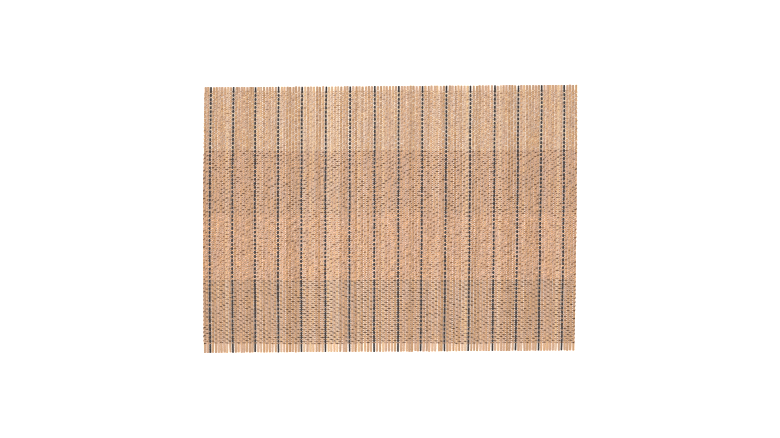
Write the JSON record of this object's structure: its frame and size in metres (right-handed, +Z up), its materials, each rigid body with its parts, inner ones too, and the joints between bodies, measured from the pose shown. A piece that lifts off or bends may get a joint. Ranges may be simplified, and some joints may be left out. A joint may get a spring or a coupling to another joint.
{
  "type": "bamboo placemat",
  "caption": "Rectangular placemat of thin bamboo sticks laid side by side and held by bands of woven yarn, lying flat, with a dark stick at even steps.",
  "frame": {"origin": "middle of the mat's outline on the surface that it lies on", "axes": "+X along the long side, to the right in the picture; +Y along the sticks, up in the picture; +Z up from the table"},
  "size_m": [0.465, 0.333, 0.0039],
  "materials": {
    "bamboo_natural": "bare split bamboo, matt with a faint sheen along the grain",
    "bamboo_dark": "bamboo stained almost black, matt",
    "yarn_cream": "soft cotton yarn of two twisted plies, cream, matt",
    "yarn_tan": "soft cotton yarn of two twisted plies, tan, one ply darker, matt",
    "yarn_peach": "soft cotton yarn of two twisted plies, peach, one ply darker, matt",
    "yarn_brown": "soft cotton yarn of two plies twisted the other way, brown, matt"
  },
  "bodies": {
    "root": {"woven_field": "bamboo_natural", "dark_stick_01": "bamboo_dark", "dark_stick_02": "bamboo_dark", "dark_stick_03": "bamboo_dark", "dark_stick_04": "bamboo_dark", "dark_stick_05": "bamboo_dark", "dark_stick_06": "bamboo_dark", "dark_stick_07": "bamboo_dark", "dark_stick_08": "bamboo_dark", "dark_stick_09": "bamboo_dark", "dark_stick_10": "bamboo_dark", "dark_stick_11": "bamboo_dark", "dark_stick_12": "bamboo_dark", "dark_stick_13": "bamboo_dark", "dark_stick_14": "bamboo_dark", "dark_stick_15": "bamboo_dark", "dark_stick_16": "bamboo_dark"}
  },
  "joints": []
}
